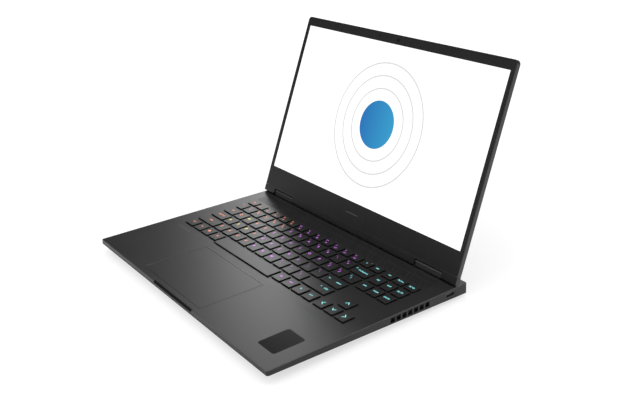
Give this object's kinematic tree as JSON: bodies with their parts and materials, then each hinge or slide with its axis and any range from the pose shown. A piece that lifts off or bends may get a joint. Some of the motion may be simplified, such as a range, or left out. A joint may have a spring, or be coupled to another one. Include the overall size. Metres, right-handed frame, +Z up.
{
  "type": "laptop computer",
  "caption": "Open laptop computer with a wide matte screen, full keyboard with navigation block, large touchpad, side vents and sockets.",
  "frame": {"origin": "middle of the rear foot's underside, on the surface the laptop stands on", "axes": "+X to the user's right, +Y away from the user, +Z up"},
  "size_m": [0.369, 0.334, 0.2506],
  "materials": {
    "shell": "satin",
    "bottom_plastic": "matte",
    "foot_rubber": "matte",
    "keycap": "matte",
    "touchpad": "satin",
    "bezel": "satin",
    "display": "gloss",
    "steel": "satin",
    "copper": "satin",
    "board": "satin",
    "dark_plastic": "satin",
    "pack_plastic": "matte",
    "knuckle": "satin"
  },
  "bodies": {
    "base": {"audio_socket": "dark_plastic", "battery_pack": "pack_plastic", "bottom_cover": "bottom_plastic", "deck_shell": "shell", "display_socket": "steel", "fan_housing_left": "dark_plastic", "fan_housing_right": "dark_plastic", "fin_stack_left": "copper", "fin_stack_right": "copper", "front_foot": "foot_rubber", "heat_pipes": "copper", "hinge_bracket_left": "steel", "hinge_bracket_right": "steel", "hinge_knuckle_left": "knuckle", "hinge_knuckle_right": "knuckle", "keyboard_plate": "steel", "mainboard": "board", "memory_module": "board", "network_socket": "steel", "port_board": "board", "power_socket": "dark_plastic", "rear_foot": "foot_rubber", "speaker_left": "dark_plastic", "speaker_right": "dark_plastic", "ssd_module": "board", "touchpad_bracket": "steel", "usb_c_socket": "steel", "usb_socket_left": "steel", "usb_socket_right": "steel", "wireless_card": "board"},
    "lid": {"lid_cover": "shell", "screen_bezel": "bezel", "screen_panel": "display", "lid_hinge_strip": "bezel", "webcam_module": "board", "hinge_arm_left": "steel", "hinge_arm_right": "steel"},
    "fan_rotor_left": {"fan_rotor_left": "dark_plastic"},
    "fan_rotor_right": {"fan_rotor_right": "dark_plastic"},
    "touchpad": {"touchpad_plate": "touchpad"},
    "function_keys": {"function_keys": "keycap"},
    "power_key": {"power_key": "keycap"},
    "delete_key": {"delete_key": "keycap"},
    "number_keys": {"number_keys": "keycap"},
    "backspace_key": {"backspace_key": "keycap"},
    "upper_letter_keys": {"upper_letter_keys": "keycap"},
    "home_letter_keys": {"home_letter_keys": "keycap"},
    "enter_key": {"enter_key": "keycap"},
    "left_shift_key": {"left_shift_key": "keycap"},
    "lower_letter_keys": {"lower_letter_keys": "keycap"},
    "right_shift_key": {"right_shift_key": "keycap"},
    "left_control_keys": {"left_control_keys": "keycap"},
    "space_bar": {"space_bar": "keycap"},
    "right_control_keys": {"right_control_keys": "keycap"},
    "navigation_keys": {"navigation_keys": "keycap"},
    "up_arrow_key": {"up_arrow_key": "keycap"},
    "left_arrow_key": {"left_arrow_key": "keycap"},
    "down_arrow_key": {"down_arrow_key": "keycap"},
    "right_arrow_key": {"right_arrow_key": "keycap"}
  },
  "joints": [
    {"name": "lid_hinge", "type": "hinge", "parent": "base", "child": "lid", "pos_m": [0, 0.0208, 0.0211], "axis": [1, 0, 0], "range_deg": [-29.3, 110.7]},
    {"name": "fan_left_spin", "type": "hinge", "parent": "base", "child": "fan_rotor_left", "pos_m": [-0.12, -0.04, 0.0068], "axis": [0, 0, 1], "continuous": true},
    {"name": "fan_right_spin", "type": "hinge", "parent": "base", "child": "fan_rotor_right", "pos_m": [0.12, -0.04, 0.0068], "axis": [0, 0, 1], "continuous": true},
    {"name": "touchpad_click", "type": "hinge", "parent": "base", "child": "touchpad", "pos_m": [-0.01785, -0.1372, 0.0141], "axis": [1, 0, 0], "range_deg": [0, 0.38], "stiffness_Nm_per_rad": 8, "springref_deg": -0.69},
    {"name": "function_keys_press", "type": "slide", "parent": "base", "child": "function_keys", "axis": [0, 0, 1], "range_m": [-0.0015, 0], "stiffness_N_per_m": 1950, "springref_m": 0.0015},
    {"name": "power_key_press", "type": "slide", "parent": "base", "child": "power_key", "axis": [0, 0, 1], "range_m": [-0.0015, 0], "stiffness_N_per_m": 300, "springref_m": 0.0015},
    {"name": "delete_key_press", "type": "slide", "parent": "base", "child": "delete_key", "axis": [0, 0, 1], "range_m": [-0.0015, 0], "stiffness_N_per_m": 300, "springref_m": 0.0015},
    {"name": "number_keys_press", "type": "slide", "parent": "base", "child": "number_keys", "axis": [0, 0, 1], "range_m": [-0.0015, 0], "stiffness_N_per_m": 1950, "springref_m": 0.0015},
    {"name": "backspace_key_press", "type": "slide", "parent": "base", "child": "backspace_key", "axis": [0, 0, 1], "range_m": [-0.0015, 0], "stiffness_N_per_m": 300, "springref_m": 0.0015},
    {"name": "upper_letter_keys_press", "type": "slide", "parent": "base", "child": "upper_letter_keys", "axis": [0, 0, 1], "range_m": [-0.0015, 0], "stiffness_N_per_m": 2100, "springref_m": 0.0015},
    {"name": "home_letter_keys_press", "type": "slide", "parent": "base", "child": "home_letter_keys", "axis": [0, 0, 1], "range_m": [-0.0015, 0], "stiffness_N_per_m": 1800, "springref_m": 0.0015},
    {"name": "enter_key_press", "type": "slide", "parent": "base", "child": "enter_key", "axis": [0, 0, 1], "range_m": [-0.0015, 0], "stiffness_N_per_m": 300, "springref_m": 0.0015},
    {"name": "left_shift_key_press", "type": "slide", "parent": "base", "child": "left_shift_key", "axis": [0, 0, 1], "range_m": [-0.0015, 0], "stiffness_N_per_m": 300, "springref_m": 0.0015},
    {"name": "lower_letter_keys_press", "type": "slide", "parent": "base", "child": "lower_letter_keys", "axis": [0, 0, 1], "range_m": [-0.0015, 0], "stiffness_N_per_m": 1500, "springref_m": 0.0015},
    {"name": "right_shift_key_press", "type": "slide", "parent": "base", "child": "right_shift_key", "axis": [0, 0, 1], "range_m": [-0.0015, 0], "stiffness_N_per_m": 300, "springref_m": 0.0015},
    {"name": "left_control_keys_press", "type": "slide", "parent": "base", "child": "left_control_keys", "axis": [0, 0, 1], "range_m": [-0.0015, 0], "stiffness_N_per_m": 600, "springref_m": 0.0015},
    {"name": "space_bar_press", "type": "slide", "parent": "base", "child": "space_bar", "axis": [0, 0, 1], "range_m": [-0.0015, 0], "stiffness_N_per_m": 300, "springref_m": 0.0015},
    {"name": "right_control_keys_press", "type": "slide", "parent": "base", "child": "right_control_keys", "axis": [0, 0, 1], "range_m": [-0.0015, 0], "stiffness_N_per_m": 600, "springref_m": 0.0015},
    {"name": "navigation_keys_press", "type": "slide", "parent": "base", "child": "navigation_keys", "axis": [0, 0, 1], "range_m": [-0.0015, 0], "stiffness_N_per_m": 1350, "springref_m": 0.0015},
    {"name": "up_arrow_key_press", "type": "slide", "parent": "base", "child": "up_arrow_key", "axis": [0, 0, 1], "range_m": [-0.0015, 0], "stiffness_N_per_m": 300, "springref_m": 0.0015},
    {"name": "left_arrow_key_press", "type": "slide", "parent": "base", "child": "left_arrow_key", "axis": [0, 0, 1], "range_m": [-0.0015, 0], "stiffness_N_per_m": 300, "springref_m": 0.0015},
    {"name": "down_arrow_key_press", "type": "slide", "parent": "base", "child": "down_arrow_key", "axis": [0, 0, 1], "range_m": [-0.0015, 0], "stiffness_N_per_m": 300, "springref_m": 0.0015},
    {"name": "right_arrow_key_press", "type": "slide", "parent": "base", "child": "right_arrow_key", "axis": [0, 0, 1], "range_m": [-0.0015, 0], "stiffness_N_per_m": 300, "springref_m": 0.0015}
  ]
}
